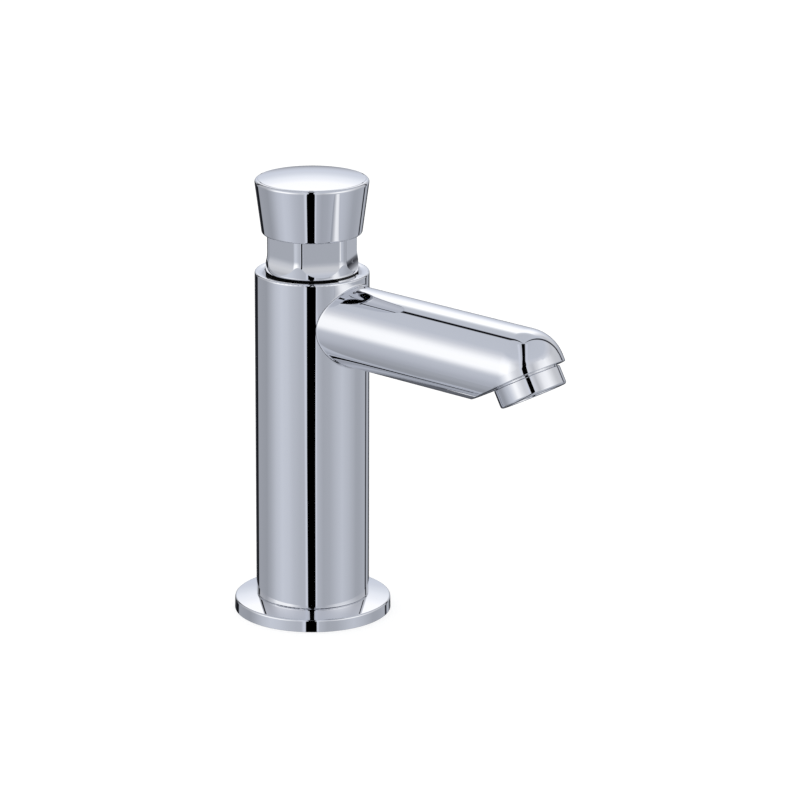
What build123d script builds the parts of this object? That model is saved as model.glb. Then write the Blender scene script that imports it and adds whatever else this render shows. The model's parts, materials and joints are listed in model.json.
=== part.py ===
from build123d import *
from math import cos, pi, radians, sin
import os

# Self-closing push-button basin tap. Millimetres, +Z up, spout along +X.
# The origin is the centre of the deck face, where the column axis meets the underside of the flange.

# Column
column_diameter = 42.0
column_wall = 3.0
shoulder_height = 130.0
shoulder_round = 0.8
column_foot_round = 0.7
web_thickness = 14.0

# Base flange: its top falls from the column's foot to the rim
flange_diameter = 58.2
flange_draft = 0.1
flange_height = 6.0
flange_rim_height = 4.6
flange_round = 0.8
flange_hole_clearance = 1.025
register_height = 3.0
register_wall = 3.0
flange_foot_width = 2.1  # bare metal outside the gasket
flange_gasket_width = 5.5
flange_gasket_thickness = 1.6

# Spout: its top lies a little below the shoulder; the reach is to the centre of the ball nose
spout_diameter = 29.8
spout_top_drop = 2.1
spout_fall = 1.4
spout_reach = 97.3
spout_wall = 3.7
junction_round = 1.0
mouth_tilt = 29.0
mouth_drop = 2.7
mouth_edge_round = 0.35

# Water passages
chamber_diameter = 30.0
seal_bore_length = 22.0
inlet_duct_diameter = 16.0
port_diameter = 9.0
port_drop = 9.0
spout_chamber_start = 26.0
spout_chamber_stop = 22.0
nose_duct_diameter = 9.5
nose_duct_wall = 3.4
nose_cavity_diameter = 16.6
nose_cavity_height = 2.7

# Push cap
neck_height = 14.3
cap_foot_round = 0.9
cap_side_height = 19.9
cap_rim_diameter = 42.0
cap_rim_round = 1.2
cap_dome_height = 2.4
cap_wall = 1.1
cap_depth = 16.7
press_travel = 9.0
stop_gap = 0.5

# Cap insert
insert_plate = 2.5
insert_hub_wall = 3.0
insert_hub_length = 6.0
insert_holes = 6
insert_hole_size = 5.0
insert_hole_ring = 11.5
stem_tip_spare = 0.5

# Hexagonal bonnet: its flats run out into the round foot with a radius
hex_across_flats = 30.0
hex_corner_round = 4.0
hex_turn = 23.0
runout_radius = 10.0
runout_rise = 7.2
foot_overhang = 0.5
bonnet_gasket_thickness = 0.5
bonnet_gasket_width = 1.4
bonnet_depth = 15.0
timing_chamber_rise = 6.0
bonnet_web_thickness = 6.0
timing_chamber_diameter = 20.4
bonnet_edge_round = 0.8
bonnet_stem_clearance = 0.3

# Timing screw in the bonnet's foot, with its bleed drillings
timing_screw_rise = 4.5
timing_screw_diameter = 1.8
timing_screw_length = 2.0
timing_socket_width = 0.9
timing_socket_depth = 0.8
timing_tip_gap = 0.425  # along the screw, from its tip to the floor of its hole
bleed_diameter = 1.2

# Stem and its guides
stem_diameter = 8.0
stem_tip_step = 1.0
stem_tail_step = 1.5
stem_collar_width = 1.5
stem_collar_thickness = 1.5
stem_seal_pocket = 2.1
guide_flange_width = 1.2
guide_flange_thickness = 1.0
guide_length = 2.6
upper_seal_shelf = 2.0
guide_bush_thickness = 5.0
guide_bush_counterbore = 2.4

# Cartridge sleeve
sleeve_length = 55.5
sleeve_diameter = 25.0
sleeve_flange_thickness = 3.0
sleeve_throat_step = 1.0
seat_rise = 22.5
seat_thickness = 4.0
seat_bore_diameter = 13.0
seat_lip_width = 0.8
seat_lip_height = 0.8
outlet_room = 8.0
outlet_port_diameter = 6.0
outlet_ports = 4
seat_washer_thickness = 1.5
seat_washer_inset = 0.6
sleeve_groove_rise = 10.5
sleeve_groove_width = 2.0
sleeve_groove_depth = 1.4

# Valve on the foot of the stem
valve_washer_thickness = 2.5
valve_disc_rim = 0.65
valve_disc_thickness = 2.0
valve_disc_lip = 1.5
valve_nut_across_flats = 8.0
valve_nut_thickness = 4.0
stem_tail_spare = 0.8

# Piston and return spring
piston_headroom = 3.0
piston_thickness = 6.0
lip_seal_thickness = 3.0
piston_groove_depth = 1.5
lip_seal_bottom = 1.5
lip_wall = 0.7
lip_floor = 1.1
lip_flare = 0.2
clip_thickness = 0.8
clip_reach = 2.5
clip_groove_depth = 0.6
clip_gap_width = 6.4
spring_wire = 1.5
spring_mean_diameter = 15.0
spring_turns = 8
spring_washer_thickness = 0.8

# Inlet tail, G 1/2, and the deck clamp
shank_diameter = 20.95
shank_bore = 15.0
shank_below_deck = 52.0
shank_engagement = 8.2
shank_chamfer = 1.0
hose_thread_length = 20.0
shank_groove_width = 1.5
shank_groove_depth = 0.6
shank_hex_rise = 1.525
shank_hex_thickness = 5.0
shank_ring_section = 1.8
deck_gap = 14.0
rubber_washer_outer = 44.0
rubber_washer_thickness = 3.0
steel_washer_outer = 42.0
steel_washer_thickness = 1.5
backnut_across_flats = 32.0
backnut_thickness = 8.0
backnut_collar_diameter = 36.0
backnut_collar_thickness = 2.0
screen_rim_thickness = 0.6
screen_depth = 8.0
screen_wall = 0.6
screen_holes = 6
screen_hole_diameter = 1.8
hose_washer_inset = 0.575
hose_washer_bore = 13.0
hose_washer_thickness = 2.0

# Aerator, measured along its own tilted axis from the mouth face
aerator_diameter = 24.8
aerator_length = 7.5
aerator_gap = 0.5
aerator_edge_round = 0.5
aerator_thread_diameter = 23.0
aerator_thread_length = 7.5
aerator_neck_wall = 1.5
aerator_lip_width = 1.0
aerator_lip_thickness = 1.2
aerator_recess = 0.8
aerator_gasket_thickness = 1.8
aerator_gasket_bore = 17.0
insert_cage_wall = 0.9
insert_grid_thickness = 2.0
insert_hole_diameter = 1.9
insert_hole_pitch = 2.35
insert_hole_rings = 3
insert_length = 6.0
regulator_thickness = 2.5
regulator_slots = 6
regulator_slot_width = 2.0
regulator_slot_length = 4.0
mesh_thickness = 0.5
mesh_hole_width = 1.2
mesh_pitch = 1.7
mesh_rows = 9

# Clearances, all radial unless a comment says otherwise
thread_clearance = 0.05
running_clearance = 0.05
seal_clearance = 0.03
piston_seal_clearance = 0.08
cap_bore_clearance = 0.05
cap_nut_clearance = 0.35
sleeve_clearance = 0.1
piston_clearance = 0.5
spring_washer_clearance = 0.4
valve_disc_clearance = 0.9
guide_recess_clearance = 0.3
deck_clearance = 0.3
seat_gap = 0.05  # along the stem, between the closed valve and its seat
cut_over = 1.0  # how far a cut or a joined form runs past the face that it meets

# Radii worked out from the sizes above
column_radius = column_diameter / 2
cavity_radius = column_radius - column_wall
spout_radius = spout_diameter / 2
shank_radius = shank_diameter / 2
stem_radius = stem_diameter / 2
stem_hole = stem_radius + running_clearance
flange_gasket_outer = flange_diameter / 2 - flange_foot_width
flange_gasket_inner = flange_gasket_outer - flange_gasket_width
bonnet_gasket_outer = chamber_diameter / 2 + bonnet_gasket_width
foot_radius = bonnet_gasket_outer + foot_overhang
bonnet_spigot_radius = chamber_diameter / 2 - thread_clearance
timing_chamber_radius = timing_chamber_diameter / 2
bleed_radius = hex_across_flats / 2 - timing_screw_length - timing_tip_gap
sleeve_radius = sleeve_diameter / 2
seal_bore = sleeve_radius + sleeve_clearance
seat_bore = seat_bore_diameter / 2
pocket_radius = stem_radius + stem_seal_pocket
guide_flange_radius = pocket_radius + guide_flange_width
stem_tip_radius = stem_radius - stem_tip_step
stem_tail_radius = stem_radius - stem_tail_step
valve_disc_radius = timing_chamber_radius - valve_disc_clearance
valve_washer_radius = valve_disc_radius - valve_disc_rim - thread_clearance
piston_radius = timing_chamber_radius - piston_clearance
lip_seal_radius = piston_radius - piston_groove_depth
cap_bore = foot_radius + cap_nut_clearance
cap_foot_radius = cap_bore + cap_wall
screen_radius = shank_bore / 2 - thread_clearance
hose_washer_radius = shank_radius - hose_washer_inset
aerator_thread_radius = aerator_thread_diameter / 2
aerator_bore = aerator_thread_radius - aerator_neck_wall
aerator_lip_bore = aerator_bore - aerator_lip_width

# Heights above the deck, from the shoulder up to the cap
bonnet_foot_bottom = shoulder_height + bonnet_gasket_thickness
runout_height = shoulder_height + runout_rise
timing_screw_height = shoulder_height + timing_screw_rise
bonnet_web = shoulder_height + timing_chamber_rise
bonnet_web_top = bonnet_web + bonnet_web_thickness
upper_seal_floor = bonnet_web + upper_seal_shelf
cap_foot_height = shoulder_height + neck_height
cap_rim_height = cap_foot_height + cap_side_height
cap_top_height = cap_rim_height + cap_dome_height
cap_ceiling = cap_foot_height + cap_depth
insert_bottom = cap_ceiling - insert_plate
hub_bottom = insert_bottom - insert_hub_length
bonnet_top = insert_bottom - press_travel - stop_gap

# From the shoulder down through the cartridge to the tail
bonnet_bottom = shoulder_height - bonnet_depth
sleeve_bottom = bonnet_bottom - sleeve_length
seat_ledge = sleeve_bottom - seat_washer_thickness
web_bottom = seat_ledge - web_thickness
chamber_floor = seat_ledge + seal_bore_length
seat_top = sleeve_bottom + seat_rise
seat_bottom = seat_top - seat_thickness
guide_ledge = seat_top + outlet_room
guide_bush_top = guide_ledge + guide_bush_thickness
lower_seal_floor = guide_bush_top - guide_bush_counterbore
sleeve_groove = sleeve_bottom + sleeve_groove_rise
valve_top = seat_bottom - seat_lip_height - seat_gap
valve_disc_top = valve_top - valve_washer_thickness
valve_disc_bottom = valve_disc_top - valve_disc_thickness
valve_nut_bottom = valve_disc_bottom - valve_nut_thickness
spring_bottom = guide_bush_top + spring_washer_thickness
clip_bottom = bonnet_web - piston_headroom
piston_bottom = clip_bottom - piston_thickness
shank_top = web_bottom + shank_engagement
shank_bottom = -shank_below_deck
ring_seat = shank_top + shank_ring_section
backnut_top = -deck_gap - rubber_washer_thickness - steel_washer_thickness

# Spout and its passages
spout_height = shoulder_height - spout_top_drop - spout_radius
port_height = spout_height - port_drop
nose_duct_rise = spout_radius - nose_duct_wall - nose_duct_diameter / 2

# The spout falls a little from the column; the mouth's axis leans outwards from straight down
fall = radians(spout_fall)
tilt = radians(mouth_tilt)
spout_length = spout_reach / cos(fall)
nose_centre = Vector(spout_reach, 0, spout_height - spout_length * sin(fall))
mouth_axis = Vector(sin(tilt), 0, -cos(tilt))
mouth_centre = nose_centre + mouth_axis * mouth_drop
spout_plane = Plane(origin=(0, 0, spout_height), x_dir=(0, 1, 0), z_dir=(cos(fall), 0, -sin(fall)))
spout_section = Plane(origin=(0, 0, spout_height), x_dir=(cos(fall), 0, -sin(fall)), z_dir=(0, -1, 0))
mouth_plane = Plane(origin=mouth_centre, x_dir=(0, 1, 0), z_dir=mouth_axis)
mouth_section = Plane(origin=mouth_centre, x_dir=(cos(tilt), 0, sin(tilt)), z_dir=(0, 1, 0))
spout_line = Axis(spout_plane.origin, spout_plane.z_dir)
mouth_line = Axis(mouth_centre, mouth_axis)

os.makedirs("parts", exist_ok=True)


def half_section(points, plane=Plane.XZ):
    """A closed outline of straight lines, to be turned about the plane's vertical axis."""
    with BuildSketch(plane) as section:
        with BuildLine():
            Polyline(*points, close=True)
        make_face()
    return section.sketch


# Outer form of the spout: round bar with a ball nose and a short neck, cut square to the mouth's axis
with BuildPart() as spout_form:
    with BuildSketch(spout_section):
        with BuildLine():
            Line((0, 0), (0, spout_radius))
            Line((0, spout_radius), (spout_length, spout_radius))
            RadiusArc((spout_length, spout_radius), (spout_length + spout_radius, 0), spout_radius)
            Line((spout_length + spout_radius, 0), (0, 0))
        make_face()
    revolve(axis=spout_line)
    with BuildSketch(mouth_plane.offset(-mouth_drop)):
        Circle(spout_radius)
    extrude(amount=mouth_drop + cut_over)
    split(bisect_by=mouth_plane, keep=Keep.BOTTOM)
    fillet(spout_form.faces().sort_by(mouth_line)[-1].edges(), mouth_edge_round)

# Body: column and spout in one casting, with the cartridge bore, the water passages and the hollow foot
with BuildPart() as faucet_body:
    with BuildSketch(Plane.XY.offset(flange_height)):
        Circle(column_radius)
    extrude(amount=shoulder_height - flange_height)
    fillet(faucet_body.edges().group_by(Axis.Z)[-1], shoulder_round)
    fillet(faucet_body.edges().group_by(Axis.Z)[0], column_foot_round)
    add(spout_form.part)
    junction = faucet_body.edges().filter_by(
        lambda edge: edge.geom_type not in (GeomType.LINE, GeomType.CIRCLE)
        and edge.center().X < column_radius + spout_radius / 2
    )
    fillet(junction, junction_round)
    revolve(
        half_section(
            [
                (0, flange_height),
                (cavity_radius, flange_height),
                (cavity_radius, web_bottom),
                (shank_radius + thread_clearance, web_bottom),
                (shank_radius + thread_clearance, ring_seat),
                (inlet_duct_diameter / 2, ring_seat),
                (inlet_duct_diameter / 2, seat_ledge),
                (seal_bore, seat_ledge),
                (seal_bore, chamber_floor),
                (chamber_diameter / 2, chamber_floor),
                (chamber_diameter / 2, shoulder_height),
                (0, shoulder_height),
            ]
        ),
        axis=Axis.Z,
        mode=Mode.SUBTRACT,
    )
    # Port from the cartridge chamber into the spout
    with BuildSketch(Plane.YZ.offset(seal_bore)):
        with Locations((0, port_height)):
            Circle(port_diameter / 2)
    extrude(amount=spout_chamber_start + port_diameter / 2 - seal_bore, mode=Mode.SUBTRACT)
    # Cored chamber along the spout
    with BuildSketch(spout_plane.offset(spout_chamber_start)):
        Circle(spout_radius - spout_wall)
    extrude(amount=spout_length - spout_chamber_start - spout_chamber_stop, mode=Mode.SUBTRACT)
    # Duct over the aerator's seat, and the cavity that it feeds
    with BuildSketch(spout_plane.offset(spout_length - spout_chamber_stop - cut_over)):
        with Locations(spout_plane.to_local_coords(Vector(0, 0, spout_height + nose_duct_rise))):
            Circle(nose_duct_diameter / 2)
    extrude(amount=spout_chamber_stop - cut_over, mode=Mode.SUBTRACT)
    with BuildSketch(mouth_plane):
        Circle(aerator_thread_radius + thread_clearance)
    extrude(amount=-aerator_thread_length - aerator_gasket_thickness, mode=Mode.SUBTRACT)
    with BuildSketch(mouth_plane.offset(-aerator_thread_length - aerator_gasket_thickness)):
        Circle(nose_cavity_diameter / 2)
    extrude(amount=-nose_cavity_height, mode=Mode.SUBTRACT)
faucet_body.part.label = "faucet_body"
export_step(faucet_body.part, "parts/faucet_body.step")

# Base flange: disc with a conical top, a register that centres the column, a groove for its gasket
with BuildPart() as base_flange:
    with BuildSketch(Plane.XZ):
        with BuildLine():
            Polyline(
                (shank_radius + flange_hole_clearance, 0),
                (flange_gasket_inner, 0),
                (flange_gasket_inner, flange_gasket_thickness),
                (flange_gasket_outer, flange_gasket_thickness),
                (flange_gasket_outer, 0),
                (flange_diameter / 2, 0),
                (flange_diameter / 2 - flange_draft, flange_rim_height),
                (column_radius, flange_height),
                (cavity_radius - thread_clearance, flange_height),
                (cavity_radius - thread_clearance, flange_height + register_height),
                (cavity_radius - register_wall, flange_height + register_height),
                (cavity_radius - register_wall, flange_height),
                (shank_radius + flange_hole_clearance, flange_height),
                close=True,
            )
        make_face()
    revolve(axis=Axis.Z)
    rim = base_flange.edges().filter_by(GeomType.CIRCLE).filter_by_position(
        Axis.Z, flange_rim_height, flange_rim_height
    )
    fillet(rim.sort_by(SortBy.RADIUS)[-1], flange_round)
base_flange.part.label = "base_flange"
export_step(base_flange.part, "parts/base_flange.step")

# Flange gasket, flush with the deck face
with BuildPart() as flange_gasket:
    with BuildSketch(Plane.XY):
        Circle(flange_gasket_outer)
        Circle(flange_gasket_inner, mode=Mode.SUBTRACT)
    extrude(amount=flange_gasket_thickness)
flange_gasket.part.label = "flange_gasket"
export_step(flange_gasket.part, "parts/flange_gasket.step")

# Inlet tail: tube with the hose thread, a groove, the clamp thread and a hexagon under the column's web
with BuildPart() as inlet_shank:
    with BuildSketch(Plane.XY.offset(shank_bottom)):
        Circle(shank_radius)
    extrude(amount=shank_top - shank_bottom)
    chamfer(inlet_shank.edges().group_by(Axis.Z)[0], shank_chamfer)
    with BuildSketch(Plane.XY.offset(shank_bottom + shank_chamfer + hose_thread_length)):
        Circle(shank_radius)
        Circle(shank_radius - shank_groove_depth, mode=Mode.SUBTRACT)
    extrude(amount=shank_groove_width, mode=Mode.SUBTRACT)
    with BuildSketch(Plane.XY.offset(web_bottom - shank_hex_thickness)):
        RegularPolygon(shank_radius + shank_hex_rise, 6, major_radius=False)
    extrude(amount=shank_hex_thickness)
    with BuildSketch(Plane.XY.offset(shank_bottom)):
        Circle(shank_bore / 2)
    extrude(amount=shank_top - shank_bottom, mode=Mode.SUBTRACT)
inlet_shank.part.label = "inlet_shank"
export_step(inlet_shank.part, "parts/inlet_shank.step")

# Sealing ring between the tail's end and the web
with BuildPart() as shank_o_ring:
    with BuildSketch(Plane.XY.offset(shank_top)):
        Circle(shank_radius)
        Circle(inlet_duct_diameter / 2, mode=Mode.SUBTRACT)
    extrude(amount=shank_ring_section)
shank_o_ring.part.label = "shank_o_ring"
export_step(shank_o_ring.part, "parts/shank_o_ring.step")

# Rubber washer below the deck
with BuildPart() as rubber_mounting_washer:
    with BuildSketch(Plane.XY.offset(-deck_gap - rubber_washer_thickness)):
        Circle(rubber_washer_outer / 2)
        Circle(shank_radius + deck_clearance, mode=Mode.SUBTRACT)
    extrude(amount=rubber_washer_thickness)
rubber_mounting_washer.part.label = "rubber_mounting_washer"
export_step(rubber_mounting_washer.part, "parts/rubber_mounting_washer.step")

# Steel washer under it
with BuildPart() as steel_mounting_washer:
    with BuildSketch(Plane.XY.offset(backnut_top)):
        Circle(steel_washer_outer / 2)
        Circle(shank_radius + deck_clearance, mode=Mode.SUBTRACT)
    extrude(amount=steel_washer_thickness)
steel_mounting_washer.part.label = "steel_mounting_washer"
export_step(steel_mounting_washer.part, "parts/steel_mounting_washer.step")

# Backnut: round collar and hexagon
with BuildPart() as mounting_backnut:
    with BuildSketch(Plane.XY.offset(backnut_top - backnut_thickness)):
        RegularPolygon(backnut_across_flats / 2, 6, major_radius=False)
    extrude(amount=backnut_thickness - backnut_collar_thickness)
    with BuildSketch(Plane.XY.offset(backnut_top - backnut_collar_thickness)):
        Circle(backnut_collar_diameter / 2)
    extrude(amount=backnut_collar_thickness)
    with BuildSketch(Plane.XY.offset(backnut_top)):
        Circle(shank_radius + thread_clearance)
    extrude(amount=-backnut_thickness, mode=Mode.SUBTRACT)
mounting_backnut.part.label = "mounting_backnut"
export_step(mounting_backnut.part, "parts/mounting_backnut.step")

# Inlet strainer: a thimble in the tail's bore, hung by its rim on the tail's end face
with BuildPart() as inlet_filter_screen:
    revolve(
        half_section(
            [
                (screen_radius - screen_wall, shank_bottom - screen_rim_thickness),
                (hose_washer_radius, shank_bottom - screen_rim_thickness),
                (hose_washer_radius, shank_bottom),
                (screen_radius, shank_bottom),
                (screen_radius, shank_bottom + screen_depth),
                (0, shank_bottom + screen_depth),
                (0, shank_bottom + screen_depth - screen_wall),
                (screen_radius - screen_wall, shank_bottom + screen_depth - screen_wall),
            ]
        ),
        axis=Axis.Z,
    )
    with BuildSketch(Plane.XY.offset(shank_bottom + screen_depth)):
        with PolarLocations(screen_radius / 2 + screen_wall, screen_holes):
            Circle(screen_hole_diameter / 2)
        Circle(screen_hole_diameter / 2)
    extrude(amount=-2 * screen_wall, mode=Mode.SUBTRACT)
inlet_filter_screen.part.label = "inlet_filter_screen"
export_step(inlet_filter_screen.part, "parts/inlet_filter_screen.step")

# Hose washer that holds the strainer
with BuildPart() as inlet_filter_washer:
    with BuildSketch(Plane.XY.offset(shank_bottom - screen_rim_thickness)):
        Circle(hose_washer_radius)
        Circle(hose_washer_bore / 2, mode=Mode.SUBTRACT)
    extrude(amount=-hose_washer_thickness)
inlet_filter_washer.part.label = "inlet_filter_washer"
export_step(inlet_filter_washer.part, "parts/inlet_filter_washer.step")

# Washer under the cartridge
with BuildPart() as seat_washer:
    with BuildSketch(Plane.XY.offset(seat_ledge)):
        Circle(sleeve_radius)
        Circle(inlet_duct_diameter / 2 + seat_washer_inset, mode=Mode.SUBTRACT)
    extrude(amount=seat_washer_thickness)
seat_washer.part.label = "seat_washer"
export_step(seat_washer.part, "parts/seat_washer.step")

# Cartridge sleeve: valve chamber, seat with its lip, outlet ports, guide ledge, notched top flange
bleed_notch_depth = bonnet_spigot_radius - bleed_radius + bleed_diameter / 2
with BuildPart() as cartridge_sleeve:
    revolve(
        half_section(
            [
                (timing_chamber_radius, sleeve_bottom),
                (sleeve_radius, sleeve_bottom),
                (sleeve_radius, sleeve_groove),
                (sleeve_radius - sleeve_groove_depth, sleeve_groove),
                (sleeve_radius - sleeve_groove_depth, sleeve_groove + sleeve_groove_width),
                (sleeve_radius, sleeve_groove + sleeve_groove_width),
                (sleeve_radius, bonnet_bottom - sleeve_flange_thickness),
                (bonnet_spigot_radius, bonnet_bottom - sleeve_flange_thickness),
                (bonnet_spigot_radius, bonnet_bottom),
                (timing_chamber_radius, bonnet_bottom),
                (timing_chamber_radius, guide_ledge),
                (timing_chamber_radius - sleeve_throat_step, guide_ledge),
                (timing_chamber_radius - sleeve_throat_step, seat_top),
                (seat_bore, seat_top),
                (seat_bore, seat_bottom - seat_lip_height),
                (seat_bore + seat_lip_width, seat_bottom - seat_lip_height),
                (seat_bore + seat_lip_width, seat_bottom),
                (timing_chamber_radius, seat_bottom),
            ]
        ),
        axis=Axis.Z,
    )
    with BuildSketch(Plane.XY.offset(bonnet_bottom)):
        with Locations(Rotation(0, 0, hex_turn)):
            with Locations((bonnet_spigot_radius, 0)):
                Rectangle(2 * bleed_notch_depth, 2 * bleed_diameter)
    extrude(amount=-sleeve_flange_thickness, mode=Mode.SUBTRACT)
    for port in range(outlet_ports):
        drill = Plane(
            origin=(0, 0, (seat_top + guide_ledge) / 2),
            z_dir=(cos(2 * pi * port / outlet_ports), sin(2 * pi * port / outlet_ports), 0),
        )
        with BuildSketch(drill):
            Circle(outlet_port_diameter / 2)
        extrude(amount=sleeve_radius + cut_over, mode=Mode.SUBTRACT)
cartridge_sleeve.part.label = "cartridge_sleeve"
export_step(cartridge_sleeve.part, "parts/cartridge_sleeve.step")


def o_ring(inner_radius, outer_radius, height):
    """A round-section ring that just fits between two radii, centred on a height."""
    with BuildPart() as ring:
        with BuildSketch(Plane.XZ):
            with Locations(((inner_radius + outer_radius) / 2, height)):
                Circle((outer_radius - inner_radius) / 2)
        revolve(axis=Axis.Z)
    return ring.part


# Seal between the sleeve and the body
with BuildPart() as sleeve_o_ring:
    add(
        o_ring(
            sleeve_radius - sleeve_groove_depth + seal_clearance,
            seal_bore - seal_clearance,
            sleeve_groove + sleeve_groove_width / 2,
        )
    )
sleeve_o_ring.part.label = "sleeve_o_ring"
export_step(sleeve_o_ring.part, "parts/sleeve_o_ring.step")

# Lower stem guide: floor of the timing chamber, with a pocket for its seal
with BuildPart() as guide_bush:
    revolve(
        half_section(
            [
                (stem_hole, guide_ledge),
                (timing_chamber_radius - thread_clearance, guide_ledge),
                (timing_chamber_radius - thread_clearance, guide_bush_top),
                (pocket_radius, guide_bush_top),
                (pocket_radius, lower_seal_floor),
                (stem_hole, lower_seal_floor),
            ]
        ),
        axis=Axis.Z,
    )
guide_bush.part.label = "guide_bush"
export_step(guide_bush.part, "parts/guide_bush.step")

# Its seal round the stem
stem_seal_inner = stem_radius + running_clearance
stem_seal_outer = pocket_radius - seal_clearance
stem_seal_section = stem_seal_outer - stem_seal_inner
with BuildPart() as lower_stem_o_ring:
    add(o_ring(stem_seal_inner, stem_seal_outer, lower_seal_floor + stem_seal_section / 2))
lower_stem_o_ring.part.label = "lower_stem_o_ring"
export_step(lower_stem_o_ring.part, "parts/lower_stem_o_ring.step")

# Washer that the spring stands on
with BuildPart() as spring_seat_washer:
    with BuildSketch(Plane.XY.offset(guide_bush_top)):
        Circle(timing_chamber_radius - spring_washer_clearance)
        Circle(stem_radius + bonnet_stem_clearance, mode=Mode.SUBTRACT)
    extrude(amount=spring_washer_thickness)
spring_seat_washer.part.label = "spring_seat_washer"
export_step(spring_seat_washer.part, "parts/spring_seat_washer.step")

# Bonnet: rounded hexagon whose flats run out on a round foot, threaded spigot and timing chamber below
half_facet = 180 / 6
with BuildSketch(Plane.XY.offset(runout_height - runout_radius)) as hexagon:
    RegularPolygon(hex_across_flats / 2, 6, major_radius=False, rotation=hex_turn - half_facet)
    fillet(hexagon.vertices(), hex_corner_round)
hex_direction = Vector(cos(radians(hex_turn)), sin(radians(hex_turn)), 0)
timing_plane = Plane(origin=(0, 0, timing_screw_height), z_dir=hex_direction)
with BuildPart() as hex_bonnet:
    with BuildSketch(Plane.XY.offset(runout_height - runout_radius)):
        Circle(2 * foot_radius)
    extrude(amount=-cut_over)
    extrude(hexagon.sketch, amount=bonnet_top - runout_height + runout_radius)
    inner_corner = hex_bonnet.edges().filter_by_position(
        Axis.Z, runout_height - runout_radius, runout_height - runout_radius
    )
    fillet(inner_corner.filter_by(lambda edge: edge.bounding_box().size.X < 2 * foot_radius), runout_radius)
    with BuildSketch(Plane.XY.offset(bonnet_foot_bottom)):
        Circle(foot_radius)
    extrude(amount=bonnet_top - bonnet_foot_bottom, mode=Mode.INTERSECT)
    fillet(hex_bonnet.edges().group_by(Axis.Z)[-1], bonnet_edge_round)
    with BuildSketch(Plane.XY.offset(bonnet_bottom)):
        Circle(bonnet_spigot_radius)
    extrude(amount=bonnet_foot_bottom - bonnet_bottom)
    revolve(
        half_section(
            [
                (0, bonnet_bottom),
                (timing_chamber_radius, bonnet_bottom),
                (timing_chamber_radius, bonnet_web),
                (stem_radius + bonnet_stem_clearance, bonnet_web),
                (stem_radius + bonnet_stem_clearance, upper_seal_floor),
                (pocket_radius, upper_seal_floor),
                (pocket_radius, bonnet_web_top),
                (guide_flange_radius + guide_recess_clearance, bonnet_web_top),
                (guide_flange_radius + guide_recess_clearance, bonnet_top),
                (0, bonnet_top),
            ]
        ),
        axis=Axis.Z,
        mode=Mode.SUBTRACT,
    )
    # Timing screw's hole, and the drillings that bleed the timing chamber past its tip
    with BuildSketch(timing_plane.offset(bleed_radius)):
        Circle(timing_screw_diameter / 2)
    extrude(amount=foot_radius - bleed_radius + cut_over, mode=Mode.SUBTRACT)
    with BuildSketch(timing_plane.offset(timing_chamber_radius - cut_over)):
        Circle(bleed_diameter / 2)
    extrude(amount=bleed_radius - timing_chamber_radius + cut_over, mode=Mode.SUBTRACT)
    with BuildSketch(Plane.XY.offset(bonnet_bottom)):
        with Locations(hex_direction * bleed_radius):
            Circle(bleed_diameter / 2)
    extrude(amount=timing_screw_height - bonnet_bottom, mode=Mode.SUBTRACT)
hex_bonnet.part.label = "hex_bonnet"
export_step(hex_bonnet.part, "parts/hex_bonnet.step")

# Timing screw, with its socket
with BuildPart() as timing_screw:
    with BuildSketch(timing_plane.offset(hex_across_flats / 2)):
        Circle(timing_screw_diameter / 2 - thread_clearance)
    extrude(amount=-timing_screw_length)
    with BuildSketch(timing_plane.offset(hex_across_flats / 2)):
        RegularPolygon(timing_socket_width / 2, 6, major_radius=False)
    extrude(amount=-timing_socket_depth, mode=Mode.SUBTRACT)
timing_screw.part.label = "timing_screw"
export_step(timing_screw.part, "parts/timing_screw.step")

# Sealing washer between the bonnet's foot and the shoulder
with BuildPart() as bonnet_gasket:
    with BuildSketch(Plane.XY.offset(shoulder_height)):
        Circle(bonnet_gasket_outer)
        Circle(chamber_diameter / 2, mode=Mode.SUBTRACT)
    extrude(amount=bonnet_gasket_thickness)
bonnet_gasket.part.label = "bonnet_gasket"
export_step(bonnet_gasket.part, "parts/bonnet_gasket.step")

# Seal and guide bush where the stem leaves the bonnet
with BuildPart() as stem_o_ring:
    add(o_ring(stem_seal_inner, stem_seal_outer, upper_seal_floor + stem_seal_section / 2))
stem_o_ring.part.label = "stem_o_ring"
export_step(stem_o_ring.part, "parts/stem_o_ring.step")

guide_top = bonnet_web_top + guide_flange_thickness
with BuildPart() as stem_guide:
    revolve(
        half_section(
            [
                (stem_hole, guide_top - guide_length),
                (pocket_radius - thread_clearance, guide_top - guide_length),
                (pocket_radius - thread_clearance, bonnet_web_top),
                (guide_flange_radius, bonnet_web_top),
                (guide_flange_radius, guide_top),
                (stem_hole, guide_top),
            ]
        ),
        axis=Axis.Z,
    )
stem_guide.part.label = "stem_guide"
export_step(stem_guide.part, "parts/stem_guide.step")

# Stem: tail for the valve, collar for the piston, groove for the clip, tip for the cap insert
clip_groove = stem_radius - clip_groove_depth
with BuildPart() as stem:
    revolve(
        half_section(
            [
                (0, valve_nut_bottom - stem_tail_spare),
                (stem_tail_radius, valve_nut_bottom - stem_tail_spare),
                (stem_tail_radius, valve_top),
                (stem_radius, valve_top),
                (stem_radius, piston_bottom - stem_collar_thickness),
                (stem_radius + stem_collar_width, piston_bottom - stem_collar_thickness),
                (stem_radius + stem_collar_width, piston_bottom),
                (stem_radius, piston_bottom),
                (stem_radius, clip_bottom),
                (clip_groove, clip_bottom),
                (clip_groove, clip_bottom + clip_thickness),
                (stem_radius, clip_bottom + clip_thickness),
                (stem_radius, hub_bottom),
                (stem_tip_radius, hub_bottom),
                (stem_tip_radius, cap_ceiling - stem_tip_spare),
                (0, cap_ceiling - stem_tip_spare),
            ]
        ),
        axis=Axis.Z,
    )
stem.part.label = "stem"
export_step(stem.part, "parts/stem.step")

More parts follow.
